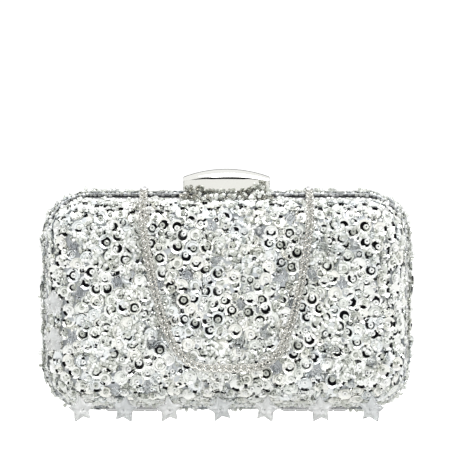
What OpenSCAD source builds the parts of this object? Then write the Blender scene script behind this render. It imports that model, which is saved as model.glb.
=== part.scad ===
// Beaded box evening bag: two hinged pillow-shaped halves, a press-bar clasp on top,
// a fine link chain hung from two lugs, and clear star beads it stands on.
// Millimetres, +Z up, front face towards -Y, y = 0 at the parting plane, z = 0 at the star tips.

/* [Rim] */
// Width of the metal rim
rim_w = 181; // [140:1:220]
// Height of the metal rim
rim_h = 106; // [80:1:140]
// Height of the rim's lower edge above the surface the bag stands on
rim_lift = 6.4; // [5.8:0.1:10]
// Outside corner radius of the rim
rim_r = 20; // [17:0.5:30]
// Width of the rim's section, seen from the front
rim_t = 5; // [4:0.1:7]
// Depth of each half's rim
rim_d = 4; // [3.6:0.1:6]
// Gap between the two rims when shut
rim_gap = 0.3; // [0.2:0.05:0.6]

/* [Halves] */
// Depth of the front half's beaded envelope, parting plane to face
half_d = 26; // [22:0.5:32]
// Edge rounding of the front half's envelope
half_r = 16; // [12:0.5:16]
// Rise of the beaded face at its middle
crown = 1.3; // [0:0.1:3]
// How far the front half's beads sit inside the rim's outline
front_in = 1.5; // [0.5:0.1:3]
// How far the rear half's beads stand outside the rim's outline
rear_out = 3.5; // [1:0.1:5]
// Thickness of the beaded fabric layer over the shell
cover_t = 2; // [1.2:0.1:3]
// Thickness of the moulded shell
shell_t = 1.2; // [0.8:0.1:2]
// Thickness of the satin lining
lining_t = 0.8; // [0.5:0.1:1.2]

/* [Hinge] */
// Distance of each hinge from the middle
hinge_x = 45; // [30:1:60]
// Length of each hinge
hinge_w = 32; // [20:1:40]
// Outside radius of a knuckle
knuckle_r = 1.4; // [1.2:0.1:1.6]
// Radius of the hinge pin
pin_r = 0.7; // [0.5:0.05:0.9]

/* [Clasp] */
// Length of the press bar
bar_w = 44; // [30:1:60]
// Radius of the press bar's rounded top
bar_r = 4.9; // [4:0.1:6]
// Rise of the press bar from its ends to its middle
bar_arch = 4; // [1:0.5:6]
// How far the press bar's long sides bow outward at its middle
bar_bow = 1.6; // [0.5:0.1:1.8]
// Travel of the press bar
press = 1.6; // [1.2:0.1:2]
// Distance of each stem from the middle
stem_x = 13; // [8:1:18]
// Stem radius
stem_r = 1; // [0.8:0.05:1.1]

/* [Chain] */
// Distance of each chain lug from the middle
lug_x = 41.7; // [30:0.5:60]
// Wire radius of a chain link
wire_r = 0.55; // [0.4:0.05:0.7]
// Centre-line radius of a link's rounded ends
link_r = 1.65; // [1.4:0.05:2]
// Length of a link's straight sides
link_s = 2.35; // [1.5:0.05:4]
// Height of the lowest point of the hanging loop
loop_low = 27; // [20:1:60]
// Sideways drift of the loop's lowest point
loop_skew = 1.5; // [-4:0.5:4]

/* [Crystals] */
// Tip radius of a star bead
star_r = 5.8; // [4:0.1:7]
// Thickness of a star bead
star_t = 4.6; // [3:0.1:6]
// Sideways positions of the star beads along the bottom edge
star_x = [-73, -51, -29, -3, 20, 47, 73];
// Turn of each of those star beads about the vertical, in degrees
star_turn = [24, -18, 14, 0, -22, 16, -26];

/* [Hidden] */
$fn = 48;

eps = 0.01;
rim_mid = rim_lift + rim_h / 2;
rim_top = rim_lift + rim_h;
fit = 0.05;

// Insets of the two halves' envelopes at offset 0, and the rear beads' offset outward from it
rear_in = -1.5;
rear_skin = rear_out + rear_in;

// Offsets of the layers' surfaces inward from the envelope
shell_out = cover_t;
shell_in = cover_t + shell_t;
lining_out = shell_in + 0.3;
lining_in = lining_out + lining_t;

// Hinge
axis_z = rim_lift - 0.9 - knuckle_r;
leaf_t = 0.6;
knuckles = 5;
knuckle_gap = 0.3;
knuckle_w = (hinge_w - (knuckles - 1) * knuckle_gap) / knuckles;
rivet_r = 0.6;
// Distance of the rivets from the parting plane, clear of the knuckles
rivet_y = 2.6;

// Clasp
stem_y = -2.1;
bar_y = -1.5;
bar_top = rim_top + 14.4;
bar_low = rim_top + press + 0.4;
// Drop of the bar's front edge below the rest of it
skirt = 1.5;
rail_low = rim_top - rim_t;
plate_t = 1.5;
plate_low = rail_low - 2.6;
collar_t = 0.8;
bracket_floor = rail_low - 12.6;
bracket_t = 1.2;
nose_t = 0.8;

// Chain
link_half = link_s / 2 + link_r;
pitch = link_s + 2 * link_r - 1.45;
bend_links = 6;
bend_r = bend_links * pitch / (PI / 2);
lug_y = -2.3;
lug_z = rim_top + 3;
loop_y = -30.5;
bend_y = loop_y + bend_r;
bend_z = lug_z - bend_r;
end_stretch = lug_y - bend_y - 2 * pitch;
y_reach = -loop_y + link_r + wire_r;

// Face crystals, as [x, z, turn]
kites = [[-37, 39, 20], [-36, 18, -50], [6, 38, 70], [51, 37.5, -20]];
daggers = [[-14, 14, 78], [62, 66, 35]];
cone_at = [51.5, 86.5];
edge_star_z = [59, 40.5];

// ---------------------------------------------------------------- outlines and pillows

// Points of the rim's outline, moved inward by ins, as [x, z]
corner_steps = 9;
function corner(ins) = max(rim_r - ins, 3);
function outline(ins) = [
    for (q = [0:3], i = [0:corner_steps])
    let (a = 90 * q + 90 * i / corner_steps,
         sx = (q == 0 || q == 3) ? 1 : -1,
         sz = q < 2 ? 1 : -1,
         r = corner(ins))
    [sx * (rim_w / 2 - ins - r) + r * cos(a), rim_mid + sz * (rim_h / 2 - ins - r) + r * sin(a)]
];
outline_n = 4 * (corner_steps + 1);

// Rings of a pillow surface from the rim to the face, each as [inset, depth]
function side_rings(t, inset) = concat(
    [[inset + t, rim_d]],
    [for (a = [0:15:90])
        [inset + t + (half_r - t) * (1 - cos(a)), half_d - half_r + (half_r - t) * sin(a)]]
);
function face_rings(t, inset, rise) = rise == 0 ? [] : [
    for (k = [1:3]) [inset + half_r + 9 * k, half_d - t + rise * sin(30 * k)]
];
function pillow_rings(t, inset, rise) = concat(side_rings(t, inset), face_rings(t, inset, rise));
function ring_points(r) = [for (p = outline(r[0])) [p[0], -r[1], p[1]]];
function flat(lists) = [for (l = lists, p = l) p];

// A curved tray between two offsets of the pillow surface, opening towards +Y
module pillow(t_out, t_in, inset, rise = 0) {
    n = outline_n;
    outer = pillow_rings(t_out, inset, rise);
    inner = pillow_rings(t_in, inset, 0);
    no = len(outer);
    ni = len(inner);
    base = no * n;
    points = concat(flat([for (r = outer) ring_points(r)]), flat([for (r = inner) ring_points(r)]));
    outer_sides = [for (k = [0:no - 2], i = [0:n - 1])
        [k * n + i, k * n + (i + 1) % n, (k + 1) * n + (i + 1) % n, (k + 1) * n + i]];
    inner_sides = [for (k = [0:ni - 2], i = [0:n - 1])
        [base + k * n + i, base + (k + 1) * n + i, base + (k + 1) * n + (i + 1) % n,
         base + k * n + (i + 1) % n]];
    lip = [for (i = [0:n - 1]) [i, base + i, base + (i + 1) % n, (i + 1) % n]];
    outer_cap = [[for (i = [0:n - 1]) (no - 1) * n + i]];
    inner_cap = [[for (i = [n - 1:-1:0]) base + (ni - 1) * n + i]];
    polyhedron(points, concat(outer_sides, inner_sides, lip, outer_cap, inner_cap), convexity = 6);
}

module rounded(w, h, r) {
    square([w - 2 * r, h], center = true);
    square([w, h - 2 * r], center = true);
    for (sx = [-1, 1], sz = [-1, 1])
        translate([sx * (w / 2 - r), sz * (h / 2 - r)])
            circle(r);
}

// Stands a flat XY profile up in XZ and gives it depth from y0 to y1
module upright(y0, y1) {
    translate([0, y1, 0])
        rotate([90, 0, 0])
            linear_extrude(height = y1 - y0)
                children();
}

module block(lo, hi) {
    translate(lo)
        cube(hi - lo);
}

module along_x(x0, x1, y, z, r) {
    translate([x0, y, z])
        rotate([0, 90, 0])
            cylinder(h = x1 - x0, r = r);
}

module post(x, y, z0, z1, r) {
    translate([x, y, z0])
        cylinder(h = z1 - z0, r = r);
}

// ---------------------------------------------------------------- halves

module rim(y0, y1) {
    difference() {
        upright(y0, y1)
            translate([0, rim_mid])
                difference() {
                    rounded(rim_w, rim_h, rim_r);
                    rounded(rim_w - 2 * rim_t, rim_h - 2 * rim_t, rim_r - rim_t);
                }
        at_rivets(y0 > 0 ? rivet_y : -rivet_y)
            cylinder(h = 1.6, r = rivet_r + 0.02);
    }
}

// The four rivet places of both hinges, at the underside of the leaf
module at_rivets(y) {
    for (sx = [-1, 1], dx = [-12, 12])
        translate([sx * hinge_x + dx, y, rim_lift - leaf_t])
            children();
}

module rear_shell() {
    color("gainsboro")
        mirror([0, 1, 0])
            pillow(shell_out, shell_in, rear_in);
}

module front_shell() {
    color("gainsboro")
        pillow(shell_out, shell_in, front_in);
}

module rear_cover() {
    color("silver")
        mirror([0, 1, 0])
            pillow(-rear_skin, cover_t - eps, rear_in, crown);
}

module front_cover() {
    color("silver")
        pillow(0, cover_t - eps, front_in, crown);
}

module rear_rim() {
    color("dimgray")
        rim(rim_gap / 2, rim_d);
}

module front_rim() {
    color("dimgray")
        difference() {
            rim(-rim_d, -rim_gap / 2);
            for (sx = [-1, 1])
                post(sx * stem_x, stem_y, rail_low - 1, rim_top + 1, stem_r + fit);
        }
}

module rear_lining() {
    color("lavender")
        mirror([0, 1, 0])
            pillow(lining_out, lining_in, rear_in);
}

module front_lining() {
    color("lavender")
        pillow(lining_out, lining_in, front_in);
}

module slip_pocket() {
    face_y = half_d - lining_in;
    color("thistle")
        difference() {
            block([-42, face_y - 1.8, 24], [42, face_y - 0.02, 74]);
            block([-40, face_y - 1.2, 26], [40, face_y + 1, 75]);
        }
}

// ---------------------------------------------------------------- hinge

function knuckle_x(i) = -hinge_w / 2 + i * (knuckle_w + knuckle_gap);

// One leaf under a rim rail with its share of the knuckles, on the side s of the parting plane
module hinge_leaf(s, first, bore_r) {
    rail_y = [s * rim_gap / 2 + s * 0.1, s * (rim_d - 0.1)];
    difference() {
        union() {
            block([-hinge_w / 2, min(rail_y), rim_lift - leaf_t], [hinge_w / 2, max(rail_y), rim_lift]);
            for (i = [first:2:knuckles - 1]) {
                along_x(knuckle_x(i), knuckle_x(i) + knuckle_w, 0, axis_z, knuckle_r);
                block([knuckle_x(i), min(s * 0.25, s * 1.3), axis_z],
                    [knuckle_x(i) + knuckle_w, max(s * 0.25, s * 1.3), rim_lift - leaf_t / 2]);
            }
        }
        along_x(-hinge_w, hinge_w, 0, axis_z, bore_r);
        for (dx = [-12, 12])
            post(dx, s * rivet_y, rim_lift - 1, rim_lift + 1, rivet_r + 0.02);
    }
}

module hinge_leaves(s, first, bore_r) {
    color("gray")
        for (sx = [-1, 1])
            translate([sx * hinge_x, 0, 0])
                hinge_leaf(s, first, bore_r);
}

module rear_hinge_leaves() {
    hinge_leaves(1, 0, pin_r + 0.02);
}

module front_hinge_leaves() {
    hinge_leaves(-1, 1, pin_r + fit);
}

module hinge_pins() {
    color("dimgray")
        for (sx = [-1, 1])
            translate([sx * hinge_x, 0, 0]) {
                along_x(-hinge_w / 2 - 0.4, hinge_w / 2 + 0.4, 0, axis_z, pin_r);
                for (end = [-1, 1])
                    along_x(min(end * (hinge_w / 2 + 0.1), end * (hinge_w / 2 + 0.7)),
                        max(end * (hinge_w / 2 + 0.1), end * (hinge_w / 2 + 0.7)), 0, axis_z, pin_r + 0.4);
            }
}

module rivets(y) {
    color("darkgray")
        at_rivets(y) {
            translate([0, 0, -0.5])
                cylinder(h = 0.5, r = rivet_r + 0.5);
            cylinder(h = 1.5, r = rivet_r);
        }
}

module rear_rivets() {
    rivets(rivet_y);
}

module front_rivets() {
    rivets(-rivet_y);
}

// ---------------------------------------------------------------- clasp

// The bar's section across its length: a rounded top, and a front edge that hangs lower
module bar_section() {
    translate([bar_y, bar_top - bar_r])
        circle(bar_r);
    translate([bar_y - bar_r, bar_low])
        square([2 * bar_r, bar_top - bar_r - bar_low]);
    translate([bar_y - bar_r, bar_low - skirt])
        square([bar_r - bar_y - rim_d - 0.3, skirt + 1]);
}

// Radius of the arc that rises by h over the bar's length
function bar_arc(h) = ((bar_w / 2) * (bar_w / 2) + h * h) / (2 * h);

// The upright cylinder that rounds the bar's long side on the side s of it
module bow(s) {
    bow_r = bar_arc(bar_bow);
    post(0, bar_y + s * (bar_r - bow_r), bar_low - 10, bar_top + 1, bow_r, $fn = 360);
}

module press_bar() {
    arch_r = bar_arc(bar_arch);
    color("gainsboro")
        difference() {
            intersection() {
                bow(-1);
                bow(1);
                upright(-20, 20)
                    intersection() {
                        translate([0, bar_top - arch_r])
                            circle(arch_r, $fn = 96);
                        translate([-bar_w / 2, bar_low - 10])
                            square([bar_w, 40]);
                    }
                rotate([90, 0, 90])
                    linear_extrude(height = 60, center = true)
                        bar_section();
            }
            for (sx = [-1, 1])
                post(sx * stem_x, stem_y, bar_low - 1, bar_low + 4.1, stem_r + 0.03);
        }
}

module press_stems() {
    color("gray")
        for (sx = [-1, 1]) {
            post(sx * stem_x, stem_y, bracket_floor - 1.4, bar_low + 4, stem_r);
            post(sx * stem_x, stem_y, plate_low - collar_t, plate_low, stem_r + 0.7);
        }
}

module latch_plate() {
    color("lightgray")
        difference() {
            union() {
                block([-16, -3.8, plate_low], [16, -0.6, plate_low + plate_t]);
                block([-5, -1, plate_low], [5, 3.4, plate_low + nose_t]);
                block([-5, 2.4, plate_low], [5, 3.4, plate_low + 2.2]);
            }
            for (sx = [-1, 1])
                post(sx * stem_x, stem_y, plate_low - 1, plate_low + 3, stem_r + 0.03);
        }
}

module stem_clips() {
    color("dimgray")
        for (sx = [-1, 1])
            difference() {
                post(sx * stem_x, stem_y, plate_low + plate_t, rail_low - 0.15, stem_r + 0.8);
                post(sx * stem_x, stem_y, plate_low, rail_low, stem_r + 0.03);
            }
}

module latch_bracket() {
    color("darkgray")
        difference() {
            union() {
                block([-18.2, -8, bracket_floor], [18.2, -0.6, bracket_floor + bracket_t]);
                for (sx = [-1, 1])
                    translate([sx * 17.6, 0, 0])
                        block([-0.6, -3.9, bracket_floor], [0.6, -0.6, rail_low]);
            }
            for (sx = [-1, 1])
                post(sx * stem_x, stem_y, bracket_floor - 1, bracket_floor + 3, stem_r + fit);
        }
}

// A coil of round wire standing on z = 0, with its centre line at radius r
module coil(r, wire, h, turns) {
    steps = 14;
    sides = 6;
    n = steps * turns;
    points = [for (i = [0:n], j = [0:sides - 1])
        let (a = 360 * i / steps, b = 360 * j / sides, reach = r + wire * cos(b))
        [reach * cos(a), reach * sin(a), wire + (h - 2 * wire) * i / n + wire * sin(b)]];
    skin = [for (i = [0:n - 1], j = [0:sides - 1])
        [i * sides + j, i * sides + (j + 1) % sides, (i + 1) * sides + (j + 1) % sides,
         (i + 1) * sides + j]];
    start = [[for (j = [sides - 1:-1:0]) j]];
    finish = [[for (j = [0:sides - 1]) n * sides + j]];
    polyhedron(points, concat(skin, start, finish), convexity = 8);
}

module return_springs() {
    low = bracket_floor + bracket_t;
    high = plate_low - collar_t;
    color("dimgray")
        for (sx = [-1, 1])
            translate([sx * stem_x, stem_y, low + 0.05])
                coil(stem_r + 0.62, 0.3, high - low - 0.1, 5);
}

module keeper_spring() {
    color("lightgray")
        difference() {
            union() {
                block([-14, 0.3, rail_low - 0.5], [14, 1.9, rail_low]);
                for (sx = [-1, 1])
                    translate([sx * 10.5, 0, 0])
                        block([-3.5, 0.3, rail_low - 0.5], [3.5, 3.8, rail_low]);
                block([-4.5, 0.9, rail_low - 1.4], [4.5, 1.9, rail_low - 0.3]);
            }
            for (sx = [-1, 1])
                post(sx * 10.5, 2.8, rail_low - 2, rail_low + 1, rivet_r + 0.02);
        }
}

module keeper_rivets() {
    color("darkgray")
        for (sx = [-1, 1]) {
            post(sx * 10.5, 2.8, rail_low - 1, rail_low - 0.5, rivet_r + 0.4);
            post(sx * 10.5, 2.8, rail_low - 0.5, rail_low - 0.02, rivet_r);
        }
}

// ---------------------------------------------------------------- star beads and crystals

// Height of a star bead's hole over the flats cut across its two lower points
star_z = 0.74 * star_r;

// Five points around a threading hole, flat in XZ, with the two lower points cut level
module star(y0, y1) {
    upright(y0, y1)
        difference() {
            polygon([for (k = [0:4]) let (a = 90 + 72 * k) each [
                star_r * [cos(a), sin(a)], 0.5 * star_r * [cos(a + 36), sin(a + 36)]]]);
            circle(0.6);
            translate([-star_r, -star_z - star_r])
                square([2 * star_r, star_r]);
        }
}

// Distance of each row of star beads from the parting plane
front_stand_y = 23;
rear_stand_y = 27.4;

module stars(y) {
    color("lightcyan")
        for (i = [0:len(star_x) - 1])
            translate([star_x[i], y, star_z])
                rotate([0, 0, star_turn[i]])
                    star(-star_t / 2, star_t / 2);
}

// The seed beads on the thread that ties each star bead at y = -stand to the rounded bottom edge
module star_beads(stand, inset, out) {
    centre = [-(half_d - half_r), rim_lift + inset + half_r];
    bead_r = 0.9;
    start = [-stand + star_t / 2 + bead_r + 0.6, star_z];
    reach = centre - start;
    color("white")
        for (x = star_x)
            translate([x, start[0], start[1]])
                rotate([-atan2(reach[0], reach[1]), 0, 0])
                    cylinder(h = norm(reach) - half_r - out - 0.6, r = bead_r);
}

module front_stars() {
    stars(-front_stand_y);
}

module rear_stars() {
    stars(rear_stand_y);
}

module front_star_beads() {
    star_beads(front_stand_y, front_in, 0);
}

module rear_star_beads() {
    mirror([0, 1, 0])
        star_beads(rear_stand_y, rear_in, rear_skin);
}

// A star bead lying against the left edge's rounding
module edge_stars() {
    stand = half_r + star_t / 2 + 0.4;
    color("lightcyan")
        for (z = edge_star_z)
            translate([-(rim_w / 2 - front_in - half_r), -(half_d - half_r), z])
                rotate([0, 0, -45])
                    translate([0, -stand, 0])
                        star(-star_t / 2, star_t / 2);
}

face_y = -(half_d + crown + 0.1);

// A faceted spike lying on the face, from its round end to its point
module spike(length, r, sides) {
    rotate([0, 90, 0])
        cylinder(h = length, r1 = r, r2 = 0.15 * r, $fn = sides);
}

module cone_crystal() {
    color("lightcyan")
        translate([cone_at[0] - 7, face_y - 2.65, cone_at[1] + 2])
            rotate([0, 12, 0])
                spike(15, 2.6, 10);
}

module dagger_crystals() {
    color("lightcyan")
        for (d = daggers)
            translate([d[0], face_y - 1.3, d[1]])
                rotate([0, -d[2], 0])
                    spike(9, 1.2, 6);
}

module kite(length) {
    upright(-2.6, 0)
        polygon([[-0.3 * length, 0], [0, 0.28 * length], [0.7 * length, 0], [0, -0.28 * length]]);
}

module kite_crystals() {
    color("lightcyan")
        for (k = kites)
            translate([k[0], face_y, k[1]])
                rotate([0, -k[2], 0])
                    kite(9);
}

// The rear face carries a matching scatter of crystals
module rear_crystals() {
    back_y = half_d + rear_skin + crown + 0.1;
    color("lightcyan")
        for (k = concat(kites, [[62, 66, 35], [-60, 84, 80]]))
            translate([-k[0], y_reach, k[1]])
                rotate([0, k[2], 0])
                    upright(back_y - y_reach, 0)
                        polygon([[-2.7, 0], [0, 2.5], [6.3, 0], [0, -2.5]]);
}

// ---------------------------------------------------------------- chain

// A link along X, flat in XY, centred; stretch lengthens its straight sides
module link(stretch = 0) {
    s = link_s + stretch;
    for (end = [-1, 1]) {
        translate([end * s / 2, 0, 0])
            rotate([0, 0, end > 0 ? -90 : 90])
                rotate_extrude(angle = 180, $fn = 24)
                    translate([link_r, 0])
                        circle(wire_r, $fn = 16);
        translate([-s / 2, end * link_r, 0])
            rotate([0, 90, 0])
                cylinder(h = s, r = wire_r, $fn = 16);
    }
}

// A lug standing on the rim's top rail, with a cross hole for the chain's first link
module chain_lugs() {
    color("gray")
        for (sx = [-1, 1])
            difference() {
                union() {
                    along_x(sx * lug_x - 0.7, sx * lug_x + 0.7, lug_y, lug_z, 2.4);
                    block([sx * lug_x - 0.7, lug_y - 1.6, rim_top], [sx * lug_x + 0.7, lug_y + 1.6, lug_z - 1]);
                }
                along_x(sx * lug_x - 2, sx * lug_x + 2, lug_y, lug_z, 1.2);
            }
}

// The straight lengths from the lugs to the start of the bend
module chain_runs() {
    first = link_half + end_stretch / 2;
    color("darkgray")
        for (sx = [-1, 1])
            translate([sx * lug_x, lug_y, lug_z])
                rotate([0, 0, -90]) {
                    translate([first, 0, 0])
                        link(end_stretch);
                    translate([end_stretch + link_half + pitch, 0, 0])
                        rotate([90, 0, 0])
                            link();
                }
}

// The lengths that curl down over the top edge of the front half
module chain_bends() {
    color("darkgray")
        for (sx = [-1, 1], k = [0:bend_links - 1]) {
            a = 90 * (link_half + k * pitch) / (bend_links * pitch);
            translate([sx * lug_x, bend_y - bend_r * sin(a), bend_z + bend_r * cos(a)])
                rotate([a, 0, 0])
                    rotate([0, 0, -90])
                        rotate([k % 2 == 0 ? 0 : 90, 0, 0])
                            link();
        }
}

// The hanging loop's centre line: a blunt U, sampled and measured along its length
loop_top = bend_z;
loop_samples = 240;
function loop_xz(u) = [lug_x * u + loop_skew * (1 - u * u),
    loop_low + (loop_top - loop_low) * pow(abs(u), 4.2)];
loop_pts = [for (i = [0:loop_samples]) loop_xz(2 * i / loop_samples - 1)];
function run_length(i) = i == 0 ? [0] :
    let (before = run_length(i - 1)) concat(before, [before[i - 1] + norm(loop_pts[i] - loop_pts[i - 1])]);
loop_run = run_length(loop_samples);
loop_len = loop_run[loop_samples];
loop_x_at = [for (i = [0:loop_samples]) [loop_run[i], loop_pts[i][0]]];
loop_z_at = [for (i = [0:loop_samples]) [loop_run[i], loop_pts[i][1]]];
function on_loop(s) = [lookup(s, loop_x_at), lookup(s, loop_z_at)];
loop_links = 2 * round((loop_len - 2 * link_half) / (2 * pitch)) + 1;
loop_pitch = (loop_len - 2 * link_half) / (loop_links - 1);

module chain_loop() {
    color("darkgray")
        for (k = [0:loop_links - 1]) {
            s = link_half + k * loop_pitch;
            tail = on_loop(s - link_half);
            head = on_loop(s + link_half);
            mid = (tail + head) / 2;
            slope = atan2(head[1] - tail[1], head[0] - tail[0]);
            translate([mid[0], loop_y, mid[1]])
                rotate([0, -slope, 0])
                    rotate([k % 2 == 0 ? 90 : 0, 0, 0])
                        link();
        }
}

rear_shell();
rear_cover();
rear_rim();
rear_lining();
rear_hinge_leaves();
hinge_pins();
rear_rivets();
keeper_spring();
keeper_rivets();
slip_pocket();
rear_stars();
rear_star_beads();
rear_crystals();
front_shell();
front_cover();
front_rim();
front_lining();
front_hinge_leaves();
front_rivets();
front_stars();
front_star_beads();
edge_stars();
cone_crystal();
dagger_crystals();
kite_crystals();
chain_lugs();
latch_bracket();
return_springs();
press_bar();
press_stems();
latch_plate();
stem_clips();
chain_runs();
chain_bends();
chain_loop();
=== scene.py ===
"""Beaded box evening bag: sequins, cut beads, crystals, chain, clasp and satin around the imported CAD.

Lengths are written in millimetres and scaled by MM. +Z is up, the front face looks along -Y, y = 0 is
the parting plane, and z = 0 is the level of the star beads' feet.
"""
import itertools
import math

import bmesh
import bpy
import numpy as np
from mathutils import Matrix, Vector


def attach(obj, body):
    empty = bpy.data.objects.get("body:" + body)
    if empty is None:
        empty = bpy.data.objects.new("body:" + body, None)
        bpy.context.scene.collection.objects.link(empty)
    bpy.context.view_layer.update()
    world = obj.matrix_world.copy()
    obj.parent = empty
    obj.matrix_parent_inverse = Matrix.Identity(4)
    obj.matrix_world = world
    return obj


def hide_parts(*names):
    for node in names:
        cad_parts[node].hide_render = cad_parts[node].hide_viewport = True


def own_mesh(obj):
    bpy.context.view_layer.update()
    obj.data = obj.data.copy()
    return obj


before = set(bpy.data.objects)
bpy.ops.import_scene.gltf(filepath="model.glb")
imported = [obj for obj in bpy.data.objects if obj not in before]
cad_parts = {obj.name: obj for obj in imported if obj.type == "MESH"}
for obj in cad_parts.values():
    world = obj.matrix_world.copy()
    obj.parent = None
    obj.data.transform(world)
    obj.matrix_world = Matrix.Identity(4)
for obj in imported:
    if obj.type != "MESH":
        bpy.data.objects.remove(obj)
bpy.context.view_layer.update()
rng = np.random.default_rng(7)
MM = 0.001

# Driving sizes and places shared with the CAD, in millimetres and degrees
RIM_W, RIM_H, RIM_LIFT, RIM_R, RIM_T, RIM_D, RIM_GAP = 181.0, 106.0, 6.4, 20.0, 5.0, 4.0, 0.3
HALF_D, HALF_R, CROWN = 26.0, 16.0, 1.3
FRONT_IN, REAR_IN, REAR_SKIN = 1.5, -1.5, 2.0
LINING_IN = 4.3
RIM_MID = RIM_LIFT + RIM_H / 2
RIM_TOP = RIM_LIFT + RIM_H
BAR_W, BAR_R, BAR_ARCH, BAR_BOW, BAR_Y = 44.0, 4.9, 4.0, 1.6, -1.5
BAR_TOP, BAR_LOW, BAR_SKIRT = RIM_TOP + 14.4, RIM_TOP + 2.0, 1.5
BROW_ANGLE = 0.35
STEM_X, STEM_Y, PRESS = 13.0, -2.1, 1.6
STAR_X = (-73, -51, -29, -3, 20, 47, 73)
STAR_TURN = (24, -18, 14, 0, -22, 16, -26)
FRONT_STAND, REAR_STAND = 23.0, 27.4
EDGE_STAR_Z = (59, 40.5)
KITES = ((-37, 39, 20), (-36, 18, -50), (6, 38, 70), (51, 37.5, -20))
REAR_KITES = KITES + ((62, 66, 35), (-60, 84, 80))
DAGGERS = ((-14, 14, 78), (62, 66, 35))
CONE = (51.5, 86.5)
LUG_X, LUG_Y, LUG_Z = 41.7, -2.3, RIM_TOP + 3
LOOP_Y, LOOP_LOW, LOOP_SKEW = -30.5, 27.0, 1.5
BEND_LENGTH = 6 * 4.2
BEND_R = BEND_LENGTH / (math.pi / 2)
BEND_Y, BEND_Z = LOOP_Y + BEND_R, LUG_Z - BEND_R
FACE_Y = HALF_D + CROWN + 0.1
POCKET_W, POCKET_H, POCKET_Z = 84.0, 50.0, 24.0

# Star beads: outer radius, thickness, and as shares of the radius the level of the blunt lower tips, their
# half distance and the waist between the arms; then the rounding of the edges and how far each is rolled
STAR_R, STAR_T, STAR_CUT, STAR_FOOT, STAR_WAIST = 7.0, 6.0, 0.78, 0.59, 0.52
STAR_EDGE = 0.3
STAR_Z = STAR_CUT * STAR_R
STAR_ROLL = (8, -6, 5, 12, -9, 3, -7)
# Cup sequins: radius, radius of the flat middle, height and sides; then how far the bead on the flat middle
# strays, as shares of its radius
LARGE_CUP, SMALL_CUP, TINY_CUP = (3.65, 2.45, 0.9, 14), (2.6, 1.6, 0.75, 12), (2.05, 1.2, 0.6, 10)
STRAY, STRAY_MOST = 0.2, 0.4
# How far each half's cloth lies inside the half's rounded outer surface
FRONT_CLOTH, REAR_CLOTH = 1.4, -0.2
# Candidates for sewing on each half, drawn in one go, and where the share of each kind of trimming ends;
# then how many crystals and bead strings a half has
CRYSTALS_END, LARGE_END, SMALL_END, TINY_END, CANDIDATES = 300, 16000, 24000, 32000, 42000
CRYSTALS, STRINGS = 22, 230
# Edging: clusters on each half, how far they bulge, how far the rows sink, their pitch and random shift
EDGE_CLUSTERS, EDGE_BULGE, EDGE_SINK, EDGE_PITCH, EDGE_SHIFT = 52, 2.2, 0.6, 1.95, 0.26
# Heaps of beads before the clasp's foot: x and height of each, then their half width, foot level and y
CLASP_HEAPS = ((-20, 1.9), (-14, 2.4), (-7.5, 1.4), (-1, 1.0), (4.5, 1.2), (10, 2.0), (15, 2.8), (19.5, 4.6))
HEAP_R, HEAP_LOW, HEAP_Y = 2.9, -0.8, -10.4
# Above this level room is kept free around the clasp and around each chain lug, as half width and depth
TOP_ROOM_Z, CLASP_ROOM, LUG_ROOM = 105.0, (24.0, 8.0), (3.0, 5.0)
# Random spins of beads stay just under a full turn, in radians
SPIN_MOST = 6.28
# The table lies low enough for the front half to hang open above it
FLOOR_R, FLOOR_Z = 800.0, -31.0


# ---------- materials

def set_inputs(node, values):
    """Sets a node's inputs by name, with an underscore for each space."""
    for key, value in values.items():
        node.inputs[key.replace("_", " ")].default_value = value
    return node


def new_material(name, **values):
    """A node material and its Principled shader with these inputs."""
    mat = bpy.data.materials.new(name)
    mat.use_nodes = True
    return mat, set_inputs(mat.node_tree.nodes["Principled BSDF"], values)


def add_node(owner, kind, **values):
    """A node in the tree of a material or the world."""
    return set_inputs(owner.node_tree.nodes.new(kind), values)


def link(owner, source, target):
    owner.node_tree.links.new(source, target)


def bump(mat, shader, height, strength, distance):
    """Feeds a height socket to the shader as a bump."""
    node = add_node(mat, "ShaderNodeBump", Strength=strength, Distance=distance)
    link(mat, height, node.inputs["Height"])
    link(mat, node.outputs["Normal"], shader.inputs["Normal"])


def object_coords(mat):
    return add_node(mat, "ShaderNodeTexCoord").outputs["Object"]


def noise(mat, scale, detail=2.0, roughness=0.5):
    node = add_node(mat, "ShaderNodeTexNoise", Scale=scale, Detail=detail, Roughness=roughness)
    link(mat, object_coords(mat), node.inputs["Vector"])
    return node.outputs["Fac"]


def ranged(owner, source, low, high, start=0.0, end=1.0):
    """Maps a socket's start..end onto low..high."""
    node = add_node(owner, "ShaderNodeMapRange", From_Min=start, From_Max=end, To_Min=low, To_Max=high)
    link(owner, source, node.inputs["Value"])
    return node.outputs["Result"]


def calculated(owner, operation, *values):
    """A math operation on sockets or plain numbers."""
    node = add_node(owner, "ShaderNodeMath")
    node.operation = operation
    for socket, value in zip(node.inputs, values):
        if isinstance(value, float):
            socket.default_value = value
        else:
            link(owner, value, socket)
    return node.outputs["Value"]


def mixed(owner, factor, a, b):
    """A colour between a and b, by a factor socket."""
    mix = add_node(owner, "ShaderNodeMix")
    mix.data_type = "RGBA"
    set_inputs(mix, {"A": (*a, 1), "B": (*b, 1)})
    link(owner, factor, mix.inputs["Factor"])
    return mix.outputs["Result"]


def metal(name, color, rough, spread=0.06, scale=900.0, ripple=0.05, metallic=1.0):
    """Plated metal, foil or lined glass whose roughness and surface vary a little."""
    mat, shader = new_material(name, Base_Color=(*color, 1), Metallic=metallic)
    pattern = noise(mat, scale)
    link(mat, ranged(mat, pattern, rough - spread / 2, rough + spread / 2), shader.inputs["Roughness"])
    bump(mat, shader, pattern, ripple, 0.0002)
    return mat


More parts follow.
